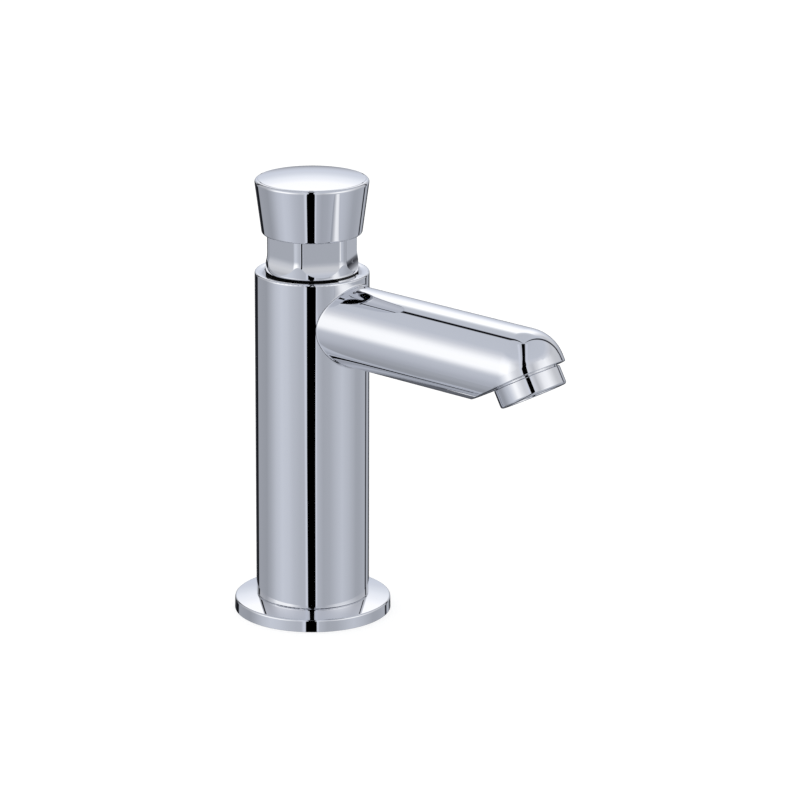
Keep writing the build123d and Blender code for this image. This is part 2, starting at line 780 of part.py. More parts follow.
# Piston, grooved for its lip seal
seal_floor = piston_bottom + lip_seal_bottom
seal_top = seal_floor + lip_seal_thickness
with BuildPart() as piston:
    revolve(
        half_section(
            [
                (stem_radius + thread_clearance, piston_bottom),
                (piston_radius, piston_bottom),
                (piston_radius, seal_floor),
                (lip_seal_radius, seal_floor),
                (lip_seal_radius, seal_top),
                (piston_radius, seal_top),
                (piston_radius, clip_bottom),
                (stem_radius + thread_clearance, clip_bottom),
            ]
        ),
        axis=Axis.Z,
    )
piston.part.label = "piston"
export_step(piston.part, "parts/piston.step")

# Its lip seal: a cup that opens upwards and flares a little to the bore
lip_outer = timing_chamber_radius - piston_seal_clearance
lip_inner = lip_seal_radius + seal_clearance
with BuildPart() as piston_lip_seal:
    revolve(
        half_section(
            [
                (lip_inner, seal_floor),
                (lip_outer - lip_flare, seal_floor),
                (lip_outer, seal_top),
                (lip_outer - lip_wall, seal_top),
                (lip_outer - lip_flare - lip_wall, seal_floor + lip_floor),
                (lip_inner + lip_wall, seal_floor + lip_floor),
                (lip_inner + lip_wall, seal_top),
                (lip_inner, seal_top),
            ]
        ),
        axis=Axis.Z,
    )
piston_lip_seal.part.label = "piston_lip_seal"
export_step(piston_lip_seal.part, "parts/piston_lip_seal.step")

# Open retaining ring above the piston
with BuildPart() as piston_clip:
    with BuildSketch(Plane.XY.offset(clip_bottom)):
        Circle(stem_radius + clip_reach)
        Circle(clip_groove + seal_clearance, mode=Mode.SUBTRACT)
        with Locations((stem_radius + clip_reach, 0)):
            Rectangle(2 * (stem_radius + clip_reach), clip_gap_width, mode=Mode.SUBTRACT)
    extrude(amount=clip_thickness)
piston_clip.part.label = "piston_clip"
export_step(piston_clip.part, "parts/piston_clip.step")

# Valve: rubber washer against the seat, dished disc behind it, nut on the stem's tail
tail_hole = stem_tail_radius + thread_clearance
with BuildPart() as valve_washer:
    with BuildSketch(Plane.XY.offset(valve_disc_top)):
        Circle(valve_washer_radius)
        Circle(tail_hole, mode=Mode.SUBTRACT)
    extrude(amount=valve_washer_thickness)
valve_washer.part.label = "valve_washer"
export_step(valve_washer.part, "parts/valve_washer.step")

with BuildPart() as valve_disc:
    with BuildSketch(Plane.XY.offset(valve_disc_bottom)):
        Circle(valve_disc_radius)
        Circle(tail_hole, mode=Mode.SUBTRACT)
    extrude(amount=valve_disc_thickness)
    with BuildSketch(Plane.XY.offset(valve_disc_top)):
        Circle(valve_disc_radius)
        Circle(valve_washer_radius + thread_clearance, mode=Mode.SUBTRACT)
    extrude(amount=valve_disc_lip)
valve_disc.part.label = "valve_disc"
export_step(valve_disc.part, "parts/valve_disc.step")

with BuildPart() as valve_nut:
    with BuildSketch(Plane.XY.offset(valve_nut_bottom)):
        RegularPolygon(valve_nut_across_flats / 2, 6, major_radius=False)
        Circle(tail_hole, mode=Mode.SUBTRACT)
    extrude(amount=valve_nut_thickness)
valve_nut.part.label = "valve_nut"
export_step(valve_nut.part, "parts/valve_nut.step")

# Return spring, from its washer up to the piston
spring_height = piston_bottom - spring_bottom - spring_wire
with BuildPart() as return_spring:
    with BuildLine() as coil:
        Helix(
            pitch=spring_height / spring_turns,
            height=spring_height,
            radius=spring_mean_diameter / 2,
            center=(0, 0, spring_bottom + spring_wire / 2),
        )
    with BuildSketch(Plane(origin=coil.line @ 0, z_dir=coil.line % 0)):
        Circle(spring_wire / 2)
    sweep(is_frenet=True)
return_spring.part.label = "return_spring"
export_step(return_spring.part, "parts/return_spring.step")

# Push cap: tapered shell with a rounded rim and a low dome
cap_rim_radius = cap_rim_diameter / 2
dome_radius = (cap_rim_radius**2 + cap_dome_height**2) / (2 * cap_dome_height)
with BuildPart() as push_cap:
    with BuildSketch(Plane.XZ) as cap_profile:
        with BuildLine():
            Polyline(
                (0, cap_top_height),
                (0, cap_ceiling),
                (cap_bore, cap_ceiling),
                (cap_bore, cap_foot_height),
                (cap_foot_radius, cap_foot_height),
                (cap_rim_radius, cap_rim_height),
            )
            RadiusArc((0, cap_top_height), (cap_rim_radius, cap_rim_height), dome_radius)
        make_face()
        rim_corner = cap_profile.vertices().sort_by(Axis.X)[-1]
        fillet(rim_corner, cap_rim_round)
        foot_corner = cap_profile.vertices().group_by(Axis.Y)[0].sort_by(Axis.X)[-1]
        fillet(foot_corner, cap_foot_round)
    revolve(axis=Axis.Z)
push_cap.part.label = "push_cap"
export_step(push_cap.part, "parts/push_cap.step")

# Cap insert: plate under the cap's ceiling with a hub for the stem's tip
with BuildPart() as cap_insert:
    with BuildSketch(Plane.XY.offset(insert_bottom)):
        Circle(cap_bore - cap_bore_clearance)
        with PolarLocations(insert_hole_ring, insert_holes):
            Circle(insert_hole_size / 2, mode=Mode.SUBTRACT)
    extrude(amount=insert_plate)
    with BuildSketch(Plane.XY.offset(hub_bottom)):
        Circle(stem_tip_radius + insert_hub_wall)
    extrude(amount=insert_hub_length)
    with BuildSketch(Plane.XY.offset(hub_bottom)):
        Circle(stem_tip_radius + thread_clearance)
    extrude(amount=cap_ceiling - hub_bottom, mode=Mode.SUBTRACT)
cap_insert.part.label = "cap_insert"
export_step(cap_insert.part, "parts/cap_insert.step")

# Aerator ring: threaded neck, visible ring with a rounded lower edge, lip that holds the insert
aerator_radius = aerator_diameter / 2
lip_top = aerator_length - aerator_lip_thickness
with BuildPart() as aerator_housing:
    revolve(
        half_section(
            [
                (aerator_bore, -aerator_thread_length),
                (aerator_thread_radius, -aerator_thread_length),
                (aerator_thread_radius, aerator_gap),
                (aerator_radius, aerator_gap),
                (aerator_radius, aerator_length),
                (aerator_lip_bore, aerator_length),
                (aerator_lip_bore, lip_top),
                (aerator_bore, lip_top),
            ],
            mouth_section,
        ),
        axis=mouth_line,
    )
    ring_edges = aerator_housing.edges().filter_by(GeomType.CIRCLE).sort_by(SortBy.RADIUS)[-2:]
    fillet(ring_edges, aerator_edge_round)
aerator_housing.part.label = "aerator_housing"
export_step(aerator_housing.part, "parts/aerator_housing.step")

# Washer over the ring's neck
with BuildPart() as aerator_gasket:
    with BuildSketch(mouth_plane.offset(-aerator_thread_length)):
        Circle(aerator_thread_radius)
        Circle(aerator_gasket_bore / 2, mode=Mode.SUBTRACT)
    extrude(amount=-aerator_gasket_thickness)
aerator_gasket.part.label = "aerator_gasket"
export_step(aerator_gasket.part, "parts/aerator_gasket.step")

# Aerator insert: a cup with a honeycomb floor that stands on the ring's lip
cage_radius = aerator_bore - thread_clearance
with BuildPart() as aerator_insert:
    with BuildSketch(mouth_plane.offset(lip_top - insert_length)):
        Circle(cage_radius)
        Circle(cage_radius - insert_cage_wall, mode=Mode.SUBTRACT)
    extrude(amount=insert_length)
    with BuildSketch(mouth_plane.offset(lip_top - insert_grid_thickness)):
        Circle(cage_radius)
    extrude(amount=insert_grid_thickness)
    with BuildSketch(mouth_plane.offset(lip_top - insert_grid_thickness)):
        Circle(aerator_lip_bore - thread_clearance)
    extrude(amount=insert_grid_thickness + aerator_lip_thickness - aerator_recess)
    with BuildSketch(mouth_plane.offset(lip_top - insert_grid_thickness)):
        Circle(insert_hole_diameter / 2)
        for ring in range(1, insert_hole_rings + 1):
            with PolarLocations(ring * insert_hole_pitch, 6 * ring):
                Circle(insert_hole_diameter / 2)
    extrude(amount=insert_grid_thickness + aerator_lip_thickness, mode=Mode.SUBTRACT)
aerator_insert.part.label = "aerator_insert"
export_step(aerator_insert.part, "parts/aerator_insert.step")

# Strainer mesh that rests on the insert's rim
mesh_bottom = lip_top - insert_length - mesh_thickness
with BuildPart() as aerator_screen:
    with BuildSketch(mouth_plane.offset(mesh_bottom)):
        Circle(cage_radius)
        with GridLocations(mesh_pitch, mesh_pitch, mesh_rows, mesh_rows):
            Rectangle(mesh_hole_width, mesh_hole_width, mode=Mode.SUBTRACT)
    extrude(amount=mesh_thickness)
aerator_screen.part.label = "aerator_screen"
export_step(aerator_screen.part, "parts/aerator_screen.step")

# Flow regulator: slotted disc between the mesh and the gasket
with BuildPart() as flow_regulator:
    with BuildSketch(mouth_plane.offset(mesh_bottom)):
        Circle(cage_radius)
        with PolarLocations(cage_radius / 2, regulator_slots):
            SlotOverall(regulator_slot_length, regulator_slot_width, mode=Mode.SUBTRACT)
    extrude(amount=-regulator_thickness)
flow_regulator.part.label = "flow_regulator"
export_step(flow_regulator.part, "parts/flow_regulator.step")
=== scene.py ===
import json
from math import ceil, cos, pi, radians, sin, sqrt, tan

import bpy
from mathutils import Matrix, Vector


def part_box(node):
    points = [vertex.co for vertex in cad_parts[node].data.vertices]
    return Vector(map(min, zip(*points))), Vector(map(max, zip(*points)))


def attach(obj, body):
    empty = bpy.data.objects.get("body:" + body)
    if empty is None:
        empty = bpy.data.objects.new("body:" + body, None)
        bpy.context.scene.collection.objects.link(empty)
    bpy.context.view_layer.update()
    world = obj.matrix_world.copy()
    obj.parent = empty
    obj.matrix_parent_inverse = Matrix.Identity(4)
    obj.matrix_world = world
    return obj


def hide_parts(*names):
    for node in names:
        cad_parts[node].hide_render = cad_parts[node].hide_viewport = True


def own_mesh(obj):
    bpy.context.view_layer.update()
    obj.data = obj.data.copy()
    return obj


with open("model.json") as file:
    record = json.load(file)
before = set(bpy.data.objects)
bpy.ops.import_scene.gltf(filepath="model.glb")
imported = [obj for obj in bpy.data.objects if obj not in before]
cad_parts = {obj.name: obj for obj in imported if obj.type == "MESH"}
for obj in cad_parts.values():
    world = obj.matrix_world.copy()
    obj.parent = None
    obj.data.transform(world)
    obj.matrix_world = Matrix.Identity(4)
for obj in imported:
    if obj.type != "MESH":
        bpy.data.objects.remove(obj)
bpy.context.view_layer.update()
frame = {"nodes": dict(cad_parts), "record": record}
bodyOf = {node: body for body, nodes in frame["record"]["behaviour"]["bodies"].items() for node in nodes}
slotOf = {row["node"]: row["material_slot"] for row in frame["record"]["subparts"]}
mm = 0.001
mergeApart = 1e-6  # metres
overrun = 1.0  # millimetres that a cutter or a blank runs past the metal it trims
print("frame loaded:", len(frame["nodes"]), "nodes")

# The photographer stands 1.4 m off and half a metre above the deck, with a long lens
photoCamera = {
    "turn": 40.0,  # degrees round the column, so the spout points right and a little forward
    "tip": 16.84,  # degrees down
    "distance": 1.38091,
    "height": 0.49842,
    "sideStep": 0.01019,
    "lens": 176.06,
    "shiftRight": 0.075,
}


def addCamera(p):
    turn = radians(p["turn"])
    right = Vector((cos(turn), sin(turn), 0))
    back = Vector((sin(turn), -cos(turn), 0))
    camera = bpy.data.objects.new("photoCamera", bpy.data.cameras.new("photoCamera"))
    bpy.context.scene.collection.objects.link(camera)
    camera.location = right * p["sideStep"] + back * p["distance"] + Vector((0, 0, p["height"]))
    camera.rotation_euler = (radians(90 - p["tip"]), 0, turn)
    camera.data.sensor_width = 36
    camera.data.lens = p["lens"]
    camera.data.shift_x = p["shiftRight"]
    camera.data.clip_start, camera.data.clip_end = 0.01, 50
    bpy.context.scene.camera = camera


addCamera(photoCamera)
print("camera set")


# Colours are written as sRGB hex, Blender wants them linear
def linear(code):
    shares = [int(code[i:i + 2], 16) / 255 for i in (0, 2, 4)]
    return [s / 12.92 if s <= 0.04045 else ((s + 0.055) / 1.055) ** 2.4 for s in shares] + [1.0]


# Adds one node. Settings are input values or properties, links say what feeds an input
def addNode(tree, kind, settings=None, links=None):
    node = tree.nodes.new("ShaderNode" + kind)
    for key, value in (settings or {}).items():
        if key == "stops":
            ramp = node.color_ramp
            while len(ramp.elements) < len(value):
                ramp.elements.new(1.0)
            for element, (place, colour) in zip(ramp.elements, value):
                element.position, element.color = place, linear(colour)
        elif isinstance(key, int) or key in node.inputs:
            node.inputs[key].default_value = value
        else:
            setattr(node, key, value)
    for key, source in (links or {}).items():
        tree.links.new(source, node.inputs[key])
    return node


# The light tent round the tap, as its chrome mirrors it. Azimuths are degrees to the right of the
# camera, elevations degrees up. The hems and the slit between them, behind the camera, go by how far
# sideways they lie, from -1 to 1
lightTent = {
    "chromeLoss": 1.28,  # chrome swallows about a fifth of the light
    "wall": [(-90, "a4a7b1"), (-60, "b4b8c1"), (-46, "c0c4cd"), (-38, "b9bdc7"), (-30, "bcc0ca"),
             (-17, "c1c5ce"), (-6, "c4c8d1"), (4, "d2d5dd"), (12, "e2e4e9"), (22, "e4e6eb"),
             (32, "d8dae1"), (43, "b9bdc6"), (90, "b4b8c1")],
    "roundAbout": [(-130, "c7c7c7"), (-106, "c3c3c3"), (-96, "d2d2d2"), (-79, "f1f1f1"), (-64, "ffffff"),
                   (-51, "fafafa"), (-38, "ededed"), (-24, "e2e2e2"), (-8, "e2e2e2"), (10, "e5e5e5"),
                   (22, "d3d3d3"), (35, "d7d7d7"), (54, "eeeeee"), (63, "f5f5f5"), (80, "e8e8e8"),
                   (100, "d0d0d0"), (110, "cfcfcf"), (130, "d8d8d8")],
    "roundAboutFades": [(28, "ffffff"), (42, "000000")],
    "softBoxes": [
        ([(-102, "000000"), (-88, "8a8a8a"), (-76, "f2f2f2"), (-48, "ffffff"), (-37, "bbbbbb"),
          (-22, "000000")],
         [(-15, "000000"), (-11, "707070"), (-8, "a8a8a8"), (-4, "dcdcdc"), (1, "ffffff"), (16, "ffffff"),
          (22, "ececec"), (28, "bcbcbc"), (35, "555555"), (41, "000000")]),
        ([(24, "000000"), (38, "bbbbbb"), (46, "f4f4f4"), (57, "ffffff"), (70, "f0f0f0"), (86, "a0a0a0"),
          (106, "5a5a5a"), (126, "000000")],
         [(-8, "000000"), (-3, "a0a0a0"), (4, "b0b0b0"), (12, "e6e6e6"), (18, "ffffff"), (26, "ffffff"),
          (31, "bcbcbc"), (36, "505050"), (41, "000000")]),
    ],
    "back": [(-90, "7c808b"), (-30, "505258"), (-20, "26282d"), (-10, "303238"), (-6.5, "8c8f97"),
             (-4, "94979f"), (0, "a6a9b2"), (4, "b8bcc6"), (9, "c3c8d3"), (13, "c8ccd6"), (17, "d4d8e0"),
             (20, "e0e3ea"), (24, "eaecf1"), (28, "f8f8fb"), (42, "ffffff"), (47, "c0c4cb"),
             (53, "b4b8c0"), (90, "b4b8c1")],
    "backEdges": [(-163, "ffffff"), (-150, "000000"), (150, "000000"), (163, "ffffff")],
    "corners": [(-145.5, "ffffff"), (-143.5, "141416"), (-135.5, "141416"), (-133.5, "ffffff"),
                (133, "ffffff"), (135, "3c3c42"), (140, "3c3c42"), (142, "ffffff")],
    "cornersBelow": [(-162, "ffffff"), (-157, "3c3c42"), (-143, "141416"), (-141, "ffffff"),
                     (134, "ffffff"), (136, "3c3c42"), (141.5, "3c3c42"), (143.5, "ffffff")],
    "cornersMeet": 3,  # degrees above and below level, over which the two sets of corners blend
    "hemTone": "c6cad4",
    "hems": [(-0.27, "000000"), (-0.21, "ffffff"), (-0.165, "ffffff"), (-0.155, "000000"),
             (0.095, "000000"), (0.104, "ffffff"), (0.130, "ffffff"), (0.165, "000000")],
    "slit": [(-0.168, "ffffff"), (-0.158, "000000"), (0.100, "000000"), (0.106, "ffffff")],
    "slitNarrows": {"from": 12, "to": 45, "times": 2.0},
}


def addTent(p, turn):
    world = bpy.data.worlds.new("lightTent")
    bpy.context.scene.world = world
    world.use_nodes = True
    tree = world.node_tree
    tree.nodes.clear()

    def ramp(stops, low, high, value):
        places = [((place - low) / (high - low), colour) for place, colour in stops]
        share = addNode(tree, "MapRange", {"From Min": low, "From Max": high}, {"Value": value})
        band = addNode(tree, "ValToRGB", {"stops": places}, {"Fac": share.outputs["Result"]})
        return band.outputs["Color"]

    def mix(kind, share, first, second):
        white = linear("ffffff")
        node = addNode(tree, "MixRGB", {"blend_type": kind, 0: 1.0, 1: white, 2: white})
        for place, source in enumerate((share, first, second)):
            if source is not None:
                tree.links.new(source, node.inputs[place])
        return node.outputs["Color"]

    def compute(kind, first, second=None):
        node = addNode(tree, "Math", {"operation": kind}, {0: first})
        if isinstance(second, float):
            node.inputs[1].default_value = second
        elif second is not None:
            tree.links.new(second, node.inputs[1])
        return node.outputs[0]

    # Turned so that X points at the camera and Y to the right of it
    towards = addNode(tree, "TexCoord").outputs["Generated"]
    turned = addNode(
        tree, "VectorRotate", {"rotation_type": "Z_AXIS", "Angle": radians(90) - turn}, {"Vector": towards}
    )
    part = addNode(tree, "SeparateXYZ", links={"Vector": turned.outputs["Vector"]}).outputs
    azimuth = compute("DEGREES", compute("ARCTAN2", part["Y"], part["X"]))
    elevation = compute("DEGREES", compute("ARCSINE", part["Z"]))

    below = ramp(p["roundAboutFades"], -90, 90, elevation)
    shade = mix("MIX", below, None, ramp(p["roundAbout"], -180, 180, azimuth))
    tone = mix("MULTIPLY", None, ramp(p["wall"], -90, 90, elevation), shade)
    for across, up in p["softBoxes"]:
        glow = mix("MULTIPLY", None, ramp(across, -180, 180, azimuth), ramp(up, -90, 90, elevation))
        tone = mix("MIX", glow, tone, None)
    tone = mix("MIX", ramp(p["backEdges"], -180, 180, azimuth), tone, ramp(p["back"], -90, 90, elevation))
    meet = p["cornersMeet"]
    above = addNode(tree, "MapRange", {"From Min": -meet, "From Max": meet}, {"Value": elevation})
    corners = [ramp(p[name], -180, 180, azimuth) for name in ("cornersBelow", "corners")]
    tone = mix("MULTIPLY", None, tone, mix("MIX", above.outputs["Result"], *corners))
    front = compute("GREATER_THAN", part["X"], 0.0)
    hems = mix("MULTIPLY", None, ramp(p["hems"], -1, 1, part["Y"]), front)
    lit = addNode(tree, "RGB")
    lit.outputs[0].default_value = linear(p["hemTone"])
    tone = mix("MIX", hems, tone, lit.outputs[0])
    narrows = p["slitNarrows"]
    times = addNode(
        tree, "MapRange",
        {"From Min": narrows["from"], "From Max": narrows["to"], "To Min": 1.0, "To Max": narrows["times"]},
        {"Value": elevation},
    )
    slit = ramp(p["slit"], -1, 1, compute("MULTIPLY", part["Y"], times.outputs["Result"]))
    tone = mix("MULTIPLY", None, tone, mix("MIX", front, None, slit))

    tent = addNode(tree, "Background", {"Strength": p["chromeLoss"]}, {"Color": tone})
    plain = addNode(tree, "Background", {"Color": linear("ffffff"), "Strength": 1.0})
    rays = addNode(tree, "LightPath").outputs
    seen = {0: rays["Is Glossy Ray"], 1: plain.outputs[0], 2: tent.outputs[0]}
    both = addNode(tree, "MixShader", {}, seen)
    addNode(tree, "OutputWorld", {}, {"Surface": both.outputs[0]})


addTent(lightTent, radians(photoCamera["turn"]))
print("tent lit")


# A new material, its tree, its shader and the place on the piece, in metres
def newMaterial(name, colour, metallic, roughness):
    material = bpy.data.materials.new(name)
    material.use_nodes = True
    tree = material.node_tree
    shader = tree.nodes["Principled BSDF"]
    shader.inputs["Base Color"].default_value = linear(colour)
    shader.inputs["Metallic"].default_value = metallic
    shader.inputs["Roughness"].default_value = roughness
    return material, tree, shader, addNode(tree, "TexCoord").outputs["Object"]


# Cloudy pattern with patches of a real size, as a value that runs between two limits. Noise keeps
# to the middle of its range, so that middle is spread out
def clouds(tree, spot, size, low, high, detail=3.0, stretch=(1, 1, 1)):
    shaped = addNode(tree, "Mapping", {"Scale": stretch}, {"Vector": spot}).outputs["Vector"]
    noise = addNode(tree, "TexNoise", {"Scale": 1 / (size * mm), "Detail": detail}, {"Vector": shaped})
    spread = addNode(
        tree, "MapRange",
        {"From Min": 0.3, "From Max": 0.7, "To Min": low, "To Max": high}, {"Value": noise.outputs[0]},
    )
    return spread.outputs["Result"]


# Fine lines left by a turning tool, one each feed, as a height between 0 and 1. Bands of scale 1 are
# pi / 10 metres apart
def toolMarks(tree, spot, feed):
    waves = addNode(
        tree, "TexWave",
        {"wave_type": "BANDS", "bands_direction": "Z", "Scale": pi / 10 / (feed * mm), "Distortion": 0.3},
        {"Vector": spot},
    )
    return waves.outputs["Fac"]


def addBump(tree, shader, height, depth):
    bump = addNode(tree, "Bump", {"Strength": 1.0, "Distance": depth * mm}, {"Height": height})
    tree.links.new(bump.outputs["Normal"], shader.inputs["Normal"])


# Bright chromium plate on buffed brass: cool, mirror-sharp, with faint long waves left by the mops
chromeFinish = {"colour": "e6e7ea", "roughLow": 0.012, "roughHigh": 0.03, "hazePatch": 9.0,
                "wavePatch": 22.0, "waveDepth": 0.0015}


def makeChrome(p):
    material, tree, shader, spot = newMaterial("brightChromePlate", p["colour"], 1.0, p["roughLow"])
    haze = clouds(tree, spot, p["hazePatch"], p["roughLow"], p["roughHigh"])
    tree.links.new(haze, shader.inputs["Roughness"])
    addBump(tree, shader, clouds(tree, spot, p["wavePatch"], 0, 1, detail=1.0), p["waveDepth"])
    return material


# Turned free-cutting brass: warm yellow, a soft shine broken by fine tool marks and a dull film in places
brassFinish = {"colour": "cfa863", "film": "a98648", "filmPatch": 5.0, "rough": 0.26, "roughFilm": 0.4,
               "feed": 0.35, "markDepth": 0.004}  # the real feed of 0.1 mm is too fine to show


def makeBrass(p):
    material, tree, shader, spot = newMaterial("turnedBrass", p["colour"], 1.0, p["rough"])
    film = clouds(tree, spot, p["filmPatch"], 0, 1)
    colours = addNode(tree, "MixRGB", {1: linear(p["colour"]), 2: linear(p["film"])}, {0: film})
    tree.links.new(colours.outputs["Color"], shader.inputs["Base Color"])
    rough = addNode(tree, "MapRange", {"To Min": p["rough"], "To Max": p["roughFilm"]}, {"Value": film})
    tree.links.new(rough.outputs["Result"], shader.inputs["Roughness"])
    addBump(tree, shader, toolMarks(tree, spot, p["feed"]), p["markDepth"])
    return material


# Stainless steel, turned or stamped: grey, half dull, with a fine grain
steelFinish = {"colour": "b9babb", "rough": 0.24, "roughHigh": 0.36, "grain": 0.6, "feed": 0.3,
               "markDepth": 0.002}  # the grain is drawn ten times as coarse as it is


def makeSteel(p):
    material, tree, shader, spot = newMaterial("stainlessSteel", p["colour"], 1.0, p["rough"])
    tree.links.new(clouds(tree, spot, p["grain"], p["rough"], p["roughHigh"]), shader.inputs["Roughness"])
    addBump(tree, shader, toolMarks(tree, spot, p["feed"]), p["markDepth"])
    return material


# Hard-drawn spring wire: darker steel with the long streaks of the drawing die
wireFinish = {"colour": "8f9093", "rough": 0.28, "roughHigh": 0.45,
              "streak": 0.5, "stretch": (0.2, 0.2, 3), "streakDepth": 0.003}


def makeWire(p):
    material, tree, shader, spot = newMaterial("drawnSpringWire", p["colour"], 1.0, p["rough"])
    tree.links.new(clouds(tree, spot, p["streak"], p["rough"], p["roughHigh"]), shader.inputs["Roughness"])
    streaks = clouds(tree, spot, p["streak"], 0, 1, stretch=p["stretch"])
    addBump(tree, shader, streaks, p["streakDepth"])
    return material


# Moulded acetal: milky white and slippery, with the satin skin of a spark-eroded mould
acetalFinish = {"colour": "e4e5e1", "shade": "d9dad4", "patch": 6.0, "rough": 0.38, "skin": 0.25,
                "skinDepth": 0.01, "ior": 1.48, "milk": 0.15, "milkDepth": 0.6}


def makeAcetal(p):
    material, tree, shader, spot = newMaterial("mouldedAcetal", p["colour"], 0.0, p["rough"])
    shader.inputs["IOR"].default_value = p["ior"]
    shader.inputs["Subsurface Weight"].default_value = p["milk"]
    shader.inputs["Subsurface Scale"].default_value = p["milkDepth"] * mm
    patches = clouds(tree, spot, p["patch"], 0, 1)
    tones = addNode(tree, "MixRGB", {1: linear(p["colour"]), 2: linear(p["shade"])}, {0: patches})
    tree.links.new(tones.outputs["Color"], shader.inputs["Base Color"])
    addBump(tree, shader, clouds(tree, spot, p["skin"], 0, 1), p["skinDepth"])
    return material


# Moulded EPDM rubber: black and matt, a little grey where talc and handling have dusted it
rubberFinish = {"colour": "161617", "dust": "2a2a2c", "dustPatch": 3.0, "rough": 0.52, "roughHigh": 0.72,
                "skin": 0.3, "skinDepth": 0.015, "ior": 1.52}


def makeRubber(p):
    material, tree, shader, spot = newMaterial("mouldedRubber", p["colour"], 0.0, p["rough"])
    shader.inputs["IOR"].default_value = p["ior"]
    dust = clouds(tree, spot, p["dustPatch"], 0, 1)
    tones = addNode(tree, "MixRGB", {1: linear(p["colour"]), 2: linear(p["dust"])}, {0: dust})
    tree.links.new(tones.outputs["Color"], shader.inputs["Base Color"])
    rough = addNode(tree, "MapRange", {"To Min": p["rough"], "To Max": p["roughHigh"]}, {"Value": dust})
    tree.links.new(rough.outputs["Result"], shader.inputs["Roughness"])
    addBump(tree, shader, clouds(tree, spot, p["skin"], 0, 1), p["skinDepth"])
    return material


# Vulcanised fibre: brick-red pressed paper, dry, with pale and dark flecks of its cotton
fibreFinish = {"colour": "8a3a2b", "fleck": "a65a44", "fleckSize": 0.7, "stretch": (1, 1, 3),
               "fleckDepth": 0.02, "rough": 0.62, "ior": 1.5}


def makeFibre(p):
    material, tree, shader, spot = newMaterial("vulcanisedFibre", p["colour"], 0.0, p["rough"])
    shader.inputs["IOR"].default_value = p["ior"]
    flecks = clouds(tree, spot, p["fleckSize"], 0, 1, detail=5.0, stretch=p["stretch"])
    tones = addNode(tree, "MixRGB", {1: linear(p["colour"]), 2: linear(p["fleck"])}, {0: flecks})
    tree.links.new(tones.outputs["Color"], shader.inputs["Base Color"])
    addBump(tree, shader, flecks, p["fleckDepth"])
    return material


finishes = {
    "chrome": makeChrome(chromeFinish),
    "brass": makeBrass(brassFinish),
    "steel": makeSteel(steelFinish),
    "spring_steel": makeWire(wireFinish),
    "acetal": makeAcetal(acetalFinish),
    "rubber": makeRubber(rubberFinish),
    "fibre": makeFibre(fibreFinish),
}
print("materials made:", len(finishes))


def makeActive(piece):
    bpy.ops.object.select_all(action="DESELECT")
    bpy.context.view_layer.objects.active = piece
    piece.select_set(True)


# Rounds a drawn outline: a corner is (radius, height) or (radius, height, round), all in millimetres
def rounded(corners, facets=8):
    points = []
    for i, corner in enumerate(corners):
        here = Vector(corner[:2])
        if len(corner) == 2:
            points.append(here)
            continue
        before = (Vector(corners[i - 1][:2]) - here).normalized()
        after = (Vector(corners[(i + 1) % len(corners)][:2]) - here).normalized()
        half = before.angle(after) / 2
        centre = here + (before + after).normalized() * corner[2] / sin(half)
        start = here + before * corner[2] / tan(half) - centre
        stop = here + after * corner[2] / tan(half) - centre
        points += [centre + start.slerp(stop, k / facets) * corner[2] for k in range(facets + 1)]
    return points


# The upright line that round pieces turn about
columnAxis = {"foot": Vector((0, 0, 0)), "along": Vector((0, 0, 1)), "out": Vector((1, 0, 0))}


# Draws an outline by extruding one point along it, and stays in edit mode
def drawOutline(name, outline, axis, closed):
    places = [axis["foot"] + (axis["out"] * x + axis["along"] * y) * mm for x, y in outline]
    bpy.ops.object.select_all(action="DESELECT")
    bpy.ops.mesh.primitive_plane_add(size=mm)
    piece = bpy.context.object
    piece.name = piece.data.name = name
    bpy.ops.object.mode_set(mode="EDIT")
    bpy.ops.mesh.merge(type="CENTER")
    bpy.ops.transform.translate(value=places[0])
    for here, there in zip(places, places[1:] + places[:1] if closed else places[1:]):
        bpy.ops.mesh.extrude_region_move(TRANSFORM_OT_translate={"value": there - here})
    return piece


# Spins a drawn outline into a solid of revolution
def turnOnLathe(name, outline, axis=columnAxis, closed=True, steps=144):
    piece = drawOutline(name, outline, axis, closed)
    bpy.ops.mesh.select_all(action="SELECT")
    bpy.ops.mesh.spin(steps=steps, angle=2 * pi, center=axis["foot"], axis=axis["along"])
    bpy.ops.mesh.select_all(action="SELECT")
    bpy.ops.mesh.remove_doubles(threshold=mergeApart)
    bpy.ops.mesh.normals_make_consistent(inside=False)
    bpy.ops.object.mode_set(mode="OBJECT")
    return piece


# Joins, cuts or trims a piece with another, which is used up
def combine(piece, other, how):
    makeActive(piece)
    work = piece.modifiers.new("combine", "BOOLEAN")
    work.operation, work.solver, work.object = how, "EXACT", other
    bpy.ops.object.modifier_apply(modifier=work.name)
    bpy.data.objects.remove(other)
    return piece


# Shades a piece smooth up to its creases, gives it its finish and lets it stand for its CAD node
def fitPiece(piece, node, crease=30):
    makeActive(piece)
    bpy.ops.object.shade_smooth_by_angle(angle=radians(crease))
    weigh = piece.modifiers.new("weighNormals", "WEIGHTED_NORMAL")
    weigh.keep_sharp = True
    bpy.ops.object.modifier_apply(modifier=weigh.name)
    piece.data.materials.clear()
    piece.data.materials.append(finishes[slotOf[node]])
    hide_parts(node)
    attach(piece, bodyOf[node])


# Push cap: a thin chrome cup upside down, tapered, with a low dome and a soft rim
pushCap = {
    "foot": 144.3, "footRadius": 18.35, "footRound": 0.9,
    "bore": 17.25, "boreRound": 0.3, "ceiling": 161.0,
    "rim": 164.2, "rimRadius": 21.0, "rimRound": 1.2,
    "top": 166.6, "rimSteps": 10, "domeSteps": 28, "creaseWidth": 0.4, "creaseDepth": 0.3,
}


